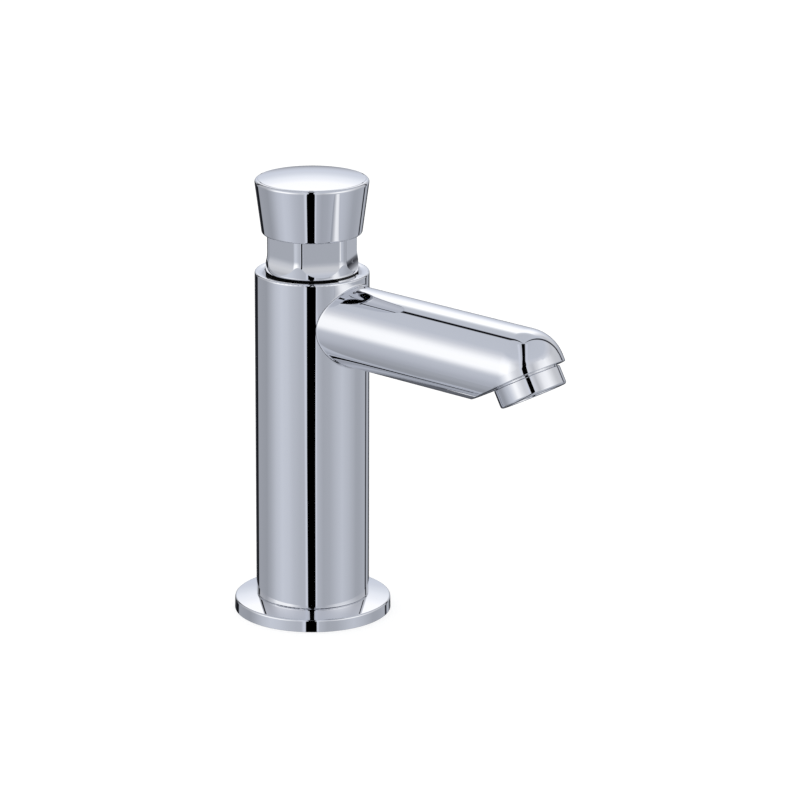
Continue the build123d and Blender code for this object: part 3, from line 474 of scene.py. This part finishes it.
def makePushCap(p):
    foot, rim = Vector((p["footRadius"], p["foot"])), Vector((p["rimRadius"], p["rim"]))
    rise = p["top"] - p["rim"]
    domeRadius = (p["rimRadius"] ** 2 + rise ** 2) / (2 * rise)
    domeCentre = Vector((0, p["top"] - domeRadius))
    # The rim's round touches the tapered side and the dome
    up = (rim - foot).normalized()
    inward = Vector((-up.y, up.x))
    start = rim + inward * p["rimRound"] - domeCentre
    lift = start.dot(up)
    shift = sqrt(lift ** 2 - start.length_squared + (domeRadius - p["rimRound"]) ** 2) - lift
    centre = domeCentre + start + up * shift
    onSide = -inward * p["rimRound"]
    onDome = (centre - domeCentre).normalized() * p["rimRound"]
    outline = rounded([
        (0, p["ceiling"]), (p["bore"], p["ceiling"]), (p["bore"], p["foot"], p["boreRound"]),
        (p["footRadius"], p["foot"], p["footRound"]), tuple(centre + onSide),
    ])
    for k in range(1, p["rimSteps"]):
        outline.append(centre + onSide.slerp(onDome, k / p["rimSteps"]) * p["rimRound"])
    # A fine crease runs round where the dome starts
    halfDome = Vector((0, 1)).angle(centre - domeCentre)
    outer = domeCentre + Vector((sin(halfDome), cos(halfDome))) * domeRadius
    halfDome -= p["creaseWidth"] / domeRadius
    inner = domeCentre + Vector((sin(halfDome), cos(halfDome))) * domeRadius
    outline += [outer, (outer + inner) / 2 - Vector((0, p["creaseDepth"]))]
    for k in range(p["domeSteps"], -1, -1):
        lean = halfDome * k / p["domeSteps"]
        outline.append(domeCentre + Vector((sin(lean), cos(lean))) * domeRadius)
    return turnOnLathe("chromePushCap", outline, closed=False)


fitPiece(makePushCap(pushCap), "push_cap")
print("push cap turned")


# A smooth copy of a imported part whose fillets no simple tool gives: its loose triangles are merged
def mergedCopy(node, name):
    piece = frame["nodes"][node].copy()
    piece.data = piece.data.copy()
    piece.name = piece.data.name = name
    for key in list(piece.keys()):
        del piece[key]
    piece.parent = None
    bpy.context.scene.collection.objects.link(piece)
    makeActive(piece)
    bpy.ops.object.mode_set(mode="EDIT")
    bpy.ops.mesh.select_all(action="SELECT")
    bpy.ops.mesh.remove_doubles(threshold=mergeApart)
    bpy.ops.object.mode_set(mode="OBJECT")
    return piece


# Column with its spout
fitPiece(mergedCopy("faucet_body", "chromeColumnAndSpout"), "faucet_body", crease=25)
print("column and spout smoothed")

# Nut: a hexagon with rounded corners whose flats run out on a round foot, bored for the cartridge
hexNut = {
    "flats": 30.0, "cornerRound": 4.0, "cornerSteps": 12, "turn": 23.0,
    "top": 149.0, "topRound": 0.8, "runOutTop": 137.2, "runOutRound": 10.0, "runOutSteps": 20,
    "foot": 130.5, "footRadius": 16.9, "spigot": 14.95, "spigotLow": 115.0,
    "chamber": 10.2, "chamberTop": 136.0, "stemHole": 4.3, "pocket": 6.1, "pocketLow": 138.0,
    "recess": 7.6, "recessLow": 142.0,
    "screwHole": 0.9, "screwHeight": 134.5, "bleedHole": 0.6, "bleedRadius": 12.575, "bleedMeet": 0.1,
    "spigotEdge": 0.4, "sunk": 0.5, "onFoot": 0.01,
}


def makeHexNut(p):
    bpy.ops.object.select_all(action="DESELECT")
    bpy.ops.mesh.primitive_circle_add(
        vertices=6, radius=p["flats"] / sqrt(3) * mm, fill_type="NGON",
        location=(0, 0, p["top"] * mm), rotation=(0, 0, radians(p["turn"])),
    )
    piece = bpy.context.object
    piece.name = piece.data.name = "chromeHexNut"
    bpy.ops.object.transform_apply(location=True, rotation=True, scale=True)
    bpy.ops.object.mode_set(mode="EDIT")
    bpy.ops.mesh.select_all(action="SELECT")
    bpy.ops.mesh.bevel(
        offset=p["cornerRound"] / sqrt(3) * mm, offset_type="OFFSET", segments=p["cornerSteps"],
        affect="VERTICES",
    )
    bpy.ops.mesh.select_all(action="SELECT")
    # Straight down along the flats, then outwards along the run-out
    straight = (0, 0, (p["runOutTop"] - p["top"]) * mm)
    bpy.ops.mesh.extrude_region_move(TRANSFORM_OT_translate={"value": straight})
    fall = p["runOutTop"] - p["foot"] + p["sunk"]
    wide = p["flats"] / 2
    for k in range(p["runOutSteps"]):
        low, lower = fall * k / p["runOutSteps"], fall * (k + 1) / p["runOutSteps"]
        curve = p["runOutRound"]
        out, outer = (curve - sqrt(curve ** 2 - depth ** 2) for depth in (low, lower))
        bpy.ops.mesh.extrude_region_move(TRANSFORM_OT_translate={"value": (0, 0, (low - lower) * mm)})
        grow = (wide + outer) / (wide + out)
        bpy.ops.transform.resize(value=(grow, grow, 1), center_override=(0, 0, 0))
    bpy.ops.mesh.select_all(action="SELECT")
    bpy.ops.mesh.normals_make_consistent(inside=False)
    bpy.ops.object.mode_set(mode="OBJECT")

    radius = p["footRadius"]
    foot = turnOnLathe("foot", rounded([
        (0, p["foot"]), (radius, p["foot"]), (radius, p["top"], p["topRound"]), (0, p["top"]),
    ]), closed=False, steps=240)
    combine(piece, foot, "INTERSECT")
    spigot = turnOnLathe("spigot", rounded([
        (0, p["spigotLow"]), (p["spigot"], p["spigotLow"], p["spigotEdge"]),
        (p["spigot"], p["foot"] + overrun), (0, p["foot"] + overrun),
    ]), closed=False)
    combine(piece, spigot, "UNION")
    bore = turnOnLathe("bore", rounded([
        (0, p["spigotLow"] - overrun), (p["chamber"], p["spigotLow"] - overrun),
        (p["chamber"], p["chamberTop"]), (p["stemHole"], p["chamberTop"]),
        (p["stemHole"], p["pocketLow"]), (p["pocket"], p["pocketLow"]),
        (p["pocket"], p["recessLow"]), (p["recess"], p["recessLow"]),
        (p["recess"], p["top"] + overrun), (0, p["top"] + overrun),
    ]), closed=False)
    combine(piece, bore, "DIFFERENCE")

    # Hole for the timing screw, and the drillings that it throttles
    outwards = Vector((cos(radians(p["turn"])), sin(radians(p["turn"])), 0))
    lift = Vector((0, 0, p["screwHeight"]))
    shaft = outwards * p["bleedRadius"]
    drill(piece, shaft + lift, outwards * (radius + overrun) + lift, p["screwHole"])
    inner, outer = p["chamber"] - overrun, p["bleedRadius"] + p["bleedMeet"]
    drill(piece, outwards * inner + lift, outwards * outer + lift, p["bleedHole"])
    drill(piece, shaft + Vector((0, 0, p["spigotLow"] - overrun)), shaft + lift, p["bleedHole"])

    # The foot's edge is sharp all round, also where the run-out meets it at a small angle
    makeActive(piece)
    bpy.ops.object.mode_set(mode="EDIT")
    bpy.ops.mesh.select_all(action="DESELECT")
    bpy.ops.object.mode_set(mode="OBJECT")
    onFoot = [abs(v.co.xy.length / mm - radius) < p["onFoot"] for v in piece.data.vertices]
    for face in piece.data.polygons:
        face.select = all(onFoot[v] for v in face.vertices)
    bpy.ops.object.mode_set(mode="EDIT")
    bpy.ops.mesh.region_to_loop()
    bpy.ops.mesh.mark_sharp()
    bpy.ops.object.mode_set(mode="OBJECT")
    return piece


# Bores a round hole from one place to another, all in millimetres
def drill(piece, start, stop, radius):
    bpy.ops.object.select_all(action="DESELECT")
    way = stop - start
    bpy.ops.mesh.primitive_cylinder_add(
        vertices=40, radius=radius * mm, depth=way.length * mm, location=(start + stop) / 2 * mm,
        rotation=Vector((0, 0, 1)).rotation_difference(way).to_euler(),
    )
    combine(piece, bpy.context.object, "DIFFERENCE")


fitPiece(makeHexNut(hexNut), "hex_bonnet", crease=25)
print("nut cut")

# Black washer between the nut's foot and the column's shoulder
nutWasher = {"bore": 15.0, "radius": 16.4, "low": 130.0, "high": 130.5, "round": 0.12}


def makeNutWasher(p):
    return turnOnLathe("rubberNutWasher", rounded([
        (p["bore"], p["low"]), (p["radius"], p["low"], p["round"]),
        (p["radius"], p["high"], p["round"]), (p["bore"], p["high"]),
    ]))


fitPiece(makeNutWasher(nutWasher), "bonnet_gasket")

# Grub screw in the nut's foot that sets how long the water runs
timingScrew = {"turn": 23.0, "height": 134.5, "radius": 0.85, "face": 15.0, "length": 2.0,
               "socket": 0.9, "socketDepth": 0.8, "over": 0.5, "edge": 0.1, "facets": 40}


def makeTimingScrew(p):
    outwards = Vector((cos(radians(p["turn"])), sin(radians(p["turn"])), 0))
    pose = (0, pi / 2, radians(p["turn"]))

    def pin(sides, radius, depth, over):
        middle = outwards * (p["face"] + over - depth / 2) + Vector((0, 0, p["height"]))
        bpy.ops.mesh.primitive_cylinder_add(
            vertices=sides, radius=radius * mm, depth=depth * mm, location=middle * mm, rotation=pose
        )
        return bpy.context.object

    bpy.ops.object.select_all(action="DESELECT")
    piece = pin(p["facets"], p["radius"], p["length"], 0)
    piece.name = piece.data.name = "steelTimingScrew"
    edge = piece.modifiers.new("edge", "BEVEL")
    edge.width, edge.segments = p["edge"] * mm, 3
    edge.limit_method, edge.angle_limit = "ANGLE", radians(60)
    bpy.ops.object.modifier_apply(modifier=edge.name)
    combine(piece, pin(6, p["socket"] / sqrt(3), p["socketDepth"] + p["over"], p["over"]), "DIFFERENCE")
    bpy.ops.object.transform_apply(location=True, rotation=True, scale=True)
    return piece


fitPiece(makeTimingScrew(timingScrew), "timing_screw")
print("nut washer and timing screw made")

# Base flange: its top falls from the column to a soft rim. A collar stands inside the column, and
# there is a groove for the gasket below
baseFlange = {"radius": 29.1, "draft": 0.1, "rim": 4.6, "rimRound": 0.8, "height": 6.0, "column": 21.0,
              "footRound": 0.15, "bore": 11.5,
              "grooveIn": 21.5, "grooveOut": 27.0, "grooveDepth": 1.6,
              "collarIn": 15.0, "collarOut": 17.95, "collarTop": 9.0, "collarRound": 0.4}


def makeBaseFlange(p):
    return turnOnLathe("chromeBaseFlange", rounded([
        (p["bore"], 0), (p["grooveIn"], 0), (p["grooveIn"], p["grooveDepth"]),
        (p["grooveOut"], p["grooveDepth"]), (p["grooveOut"], 0), (p["radius"], 0, p["footRound"]),
        (p["radius"] - p["draft"], p["rim"], p["rimRound"]), (p["column"], p["height"]),
        (p["collarOut"], p["height"]),
        (p["collarOut"], p["collarTop"], p["collarRound"]),
        (p["collarIn"], p["collarTop"], p["collarRound"]),
        (p["collarIn"], p["height"]), (p["bore"], p["height"]),
    ]), steps=192)


fitPiece(makeBaseFlange(baseFlange), "base_flange")

# Flat rings under the flange and under the deck, each from its bore to its edge
flatRings = {
    "flange_gasket": {"name": "rubberFlangeGasket", "bore": 21.5, "edge": 0.2},
    "rubber_mounting_washer": {"name": "rubberDeckWasher", "bore": 10.775, "edge": 0.5},
    "steel_mounting_washer": {"name": "steelDeckWasher", "bore": 10.775, "edge": 0.3},
    "inlet_filter_washer": {"name": "fibreHoseWasher", "bore": 6.5, "edge": 0.15},
}


def makeFlatRing(node, p):
    low, high = (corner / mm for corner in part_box(node))
    return turnOnLathe(p["name"], rounded([
        (p["bore"], low.z, p["edge"]), (high.x, low.z, p["edge"]),
        (high.x, high.z, p["edge"]), (p["bore"], high.z, p["edge"]),
    ], facets=4))


for node, ring in flatRings.items():
    fitPiece(makeFlatRing(node, ring), node)
print("flange and washers turned")

# G 1/2 pipe thread, 55 degrees with rounded crests. Its form says how far up the pitch, and how far
# out of the root
pipeThread = {"radius": 10.475, "pitch": 1.814, "depth": 1.162, "facets": 72, "spareTurns": 2,
              "form": [(0.0, 0.0), (0.08, 0.05), (0.42, 0.95), (0.5, 1.0), (0.58, 0.95), (0.92, 0.05),
                       (1.0, 0.0)]}


def threadedRod(p, low, high, grow=0.0):
    root = p["radius"] + grow - p["depth"]
    start = low - p["spareTurns"] * p["pitch"]
    outline = [Vector((root + out * p["depth"], start + up * p["pitch"])) for up, out in p["form"]]
    piece = drawOutline("threadedRod", outline, columnAxis, closed=False)
    bpy.ops.object.mode_set(mode="OBJECT")
    coil = piece.modifiers.new("coil", "SCREW")
    coil.axis, coil.angle, coil.screw_offset = "Z", 2 * pi, p["pitch"] * mm
    coil.iterations = ceil((high - low) / p["pitch"]) + 2 * p["spareTurns"]
    coil.steps = coil.render_steps = p["facets"]
    bpy.ops.object.modifier_apply(modifier=coil.name)
    bpy.ops.object.mode_set(mode="EDIT")
    bpy.ops.mesh.select_all(action="SELECT")
    bpy.ops.mesh.remove_doubles(threshold=mergeApart)
    for height, away in ((high, 1), (low, -1)):
        bpy.ops.mesh.select_all(action="SELECT")
        bpy.ops.mesh.bisect(
            plane_co=(0, 0, height * mm), plane_no=(0, 0, away), use_fill=True, clear_outer=True
        )
    bpy.ops.mesh.select_all(action="SELECT")
    bpy.ops.mesh.normals_make_consistent(inside=False)
    bpy.ops.object.mode_set(mode="OBJECT")
    return piece


def hexBar(acrossFlats, low, high):
    bpy.ops.object.select_all(action="DESELECT")
    bpy.ops.mesh.primitive_cylinder_add(
        vertices=6, radius=acrossFlats / sqrt(3) * mm, depth=(high - low) * mm,
        location=(0, 0, (high + low) / 2 * mm), rotation=(0, 0, pi / 6),
    )
    bpy.ops.object.transform_apply(location=True, rotation=True, scale=True)
    return bpy.context.object


# Threaded brass tail: hose thread, groove, clamp thread, then plain up to its hexagon in the column
inletTail = {"bottom": -52.0, "top": 52.2, "bore": 7.5, "chamfer": 1.0, "spare": 0.03,
             "grooveLow": -31.0, "grooveHigh": -29.5, "grooveRadius": 9.25, "threadTop": 8.0, "runOut": 2.5,
             "topEdge": 0.5, "hexFlats": 24.0, "hexLow": 39.0, "hexHigh": 44.0, "drillLength": 200.0}


def makeInletTail(p, thread):
    outer = thread["radius"] + p["spare"]
    root = thread["radius"] - thread["depth"]
    piece = threadedRod(thread, p["bottom"] - overrun, p["threadTop"] + overrun)
    trim = turnOnLathe("trim", rounded([
        (0, p["bottom"]), (outer - p["chamfer"], p["bottom"]), (outer, p["bottom"] + p["chamfer"]),
        (outer, p["grooveLow"]), (p["grooveRadius"], p["grooveLow"]), (p["grooveRadius"], p["grooveHigh"]),
        (outer, p["grooveHigh"]), (outer, p["threadTop"]), (0, p["threadTop"]),
    ]), closed=False)
    combine(piece, trim, "INTERSECT")
    plain = turnOnLathe("plain", rounded([
        (0, p["threadTop"] - p["runOut"]), (root, p["threadTop"] - p["runOut"]),
        (thread["radius"], p["threadTop"]), (thread["radius"], p["top"], p["topEdge"]), (0, p["top"]),
    ]), closed=False)
    combine(piece, plain, "UNION")
    combine(piece, hexBar(p["hexFlats"], p["hexLow"], p["hexHigh"]), "UNION")
    bpy.ops.mesh.primitive_cylinder_add(
        vertices=96, radius=p["bore"] * mm, depth=p["drillLength"] * mm, location=(0, 0, 0)
    )
    combine(piece, bpy.context.object, "DIFFERENCE")
    piece.name = piece.data.name = "brassInletTail"
    return piece


fitPiece(makeInletTail(inletTail, pipeThread), "inlet_shank", crease=40)
print("inlet tail cut")

# Backnut: hexagon with turned corners below a round collar
backnut = {"flats": 32.0, "low": -26.5, "high": -18.5, "cornerStart": 15.6, "cornerSlope": 30.0,
           "cornerSpare": 0.1, "collar": 18.0, "collarDepth": 2.0, "collarEdge": 0.3,
           "spigot": 17.0, "spigotRise": 0.2, "threadGap": 0.05}


def makeBacknut(p, thread):
    corner = p["flats"] / sqrt(3) + p["cornerSpare"]
    shelf = p["high"] - p["collarDepth"]
    step = shelf + p["spigotRise"]
    piece = hexBar(p["flats"], p["low"] - overrun, shelf + overrun)
    trim = turnOnLathe("trim", rounded([
        (0, p["low"]), (p["cornerStart"], p["low"]),
        (corner, p["low"] + (corner - p["cornerStart"]) * tan(radians(p["cornerSlope"]))),
        (corner, shelf), (p["spigot"], shelf), (p["spigot"], step), (0, step),
    ]), closed=False)
    combine(piece, trim, "INTERSECT")
    collar = turnOnLathe("collar", rounded([
        (0, shelf), (p["collar"], shelf, p["collarEdge"]),
        (p["collar"], p["high"], p["collarEdge"]), (0, p["high"]),
    ]), closed=False)
    combine(piece, collar, "UNION")
    tap = threadedRod(thread, p["low"] - overrun, p["high"] + overrun, grow=p["threadGap"])
    combine(piece, tap, "DIFFERENCE")
    piece.name = piece.data.name = "brassBacknut"
    return piece


fitPiece(makeBacknut(backnut, pipeThread), "mounting_backnut", crease=35)
print("backnut cut")

# Aerator ring, turned about the mouth's own line, which leans outwards from straight down
spoutNose = {"reach": 97.3, "height": 113.0, "fall": 1.4, "mouthTilt": 29.0, "mouthDrop": 2.7}
aeratorRing = {"bore": 10.0, "neck": 11.5, "neckTop": -7.5, "neckEdge": 0.4, "radius": 12.4, "gap": 0.5,
               "length": 7.5, "edge": 0.5, "lowEdge": 0.9, "lipBore": 9.0, "lipTop": 6.3, "lipEdge": 0.25}


def mouthAxis(p):
    tilt = radians(p["mouthTilt"])
    centre = Vector((p["reach"], 0, p["height"] - p["reach"] * tan(radians(p["fall"]))))
    along = Vector((sin(tilt), 0, -cos(tilt)))
    out = Vector((cos(tilt), 0, sin(tilt)))
    return {"foot": (centre + along * p["mouthDrop"]) * mm, "along": along, "out": out}


def makeAeratorRing(p, axis):
    return turnOnLathe("chromeAeratorRing", rounded([
        (p["bore"], p["neckTop"]), (p["neck"], p["neckTop"], p["neckEdge"]), (p["neck"], p["gap"]),
        (p["radius"], p["gap"], p["edge"]), (p["radius"], p["length"], p["lowEdge"]),
        (p["lipBore"], p["length"], p["lipEdge"]), (p["lipBore"], p["lipTop"]), (p["bore"], p["lipTop"]),
    ]), axis)


fitPiece(makeAeratorRing(aeratorRing, mouthAxis(spoutNose)), "aerator_housing")
print("aerator ring turned")


def makeReturnSpring():
    spring = mergedCopy("return_spring", "steelReturnSpring")
    fitPiece(spring, "return_spring")
    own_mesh(spring)


makeReturnSpring()

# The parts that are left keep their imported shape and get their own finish
for node, piece in frame["nodes"].items():
    if not piece.hide_render:
        for place in piece.material_slots:
            place.material = finishes[slotOf[node]]
print("other parts finished")

# Floor: white and dull, with the faint shadow of soft light from all sides. A hair's gap keeps it
# off the flange's underside
deckFloor = {"size": 6.0, "gap": 0.05, "paint": "b4b4b4", "glow": 0.62}


def makeFloor(p):
    bpy.ops.object.select_all(action="DESELECT")
    bpy.ops.mesh.primitive_plane_add(size=p["size"], location=(0, 0, -p["gap"] * mm))
    floor = bpy.context.object
    floor.name = "deckFloor"
    material, tree, shader, spot = newMaterial("whiteFloorPaint", p["paint"], 0.0, 1.0)
    shader.inputs["Emission Color"].default_value = linear("ffffff")
    shader.inputs["Emission Strength"].default_value = p["glow"]
    floor.data.materials.append(material)
    floor.visible_glossy = False  # the chrome sees the tent, not this floor


makeFloor(deckFloor)
bpy.context.scene.view_settings.view_transform = "Standard"

print("done")
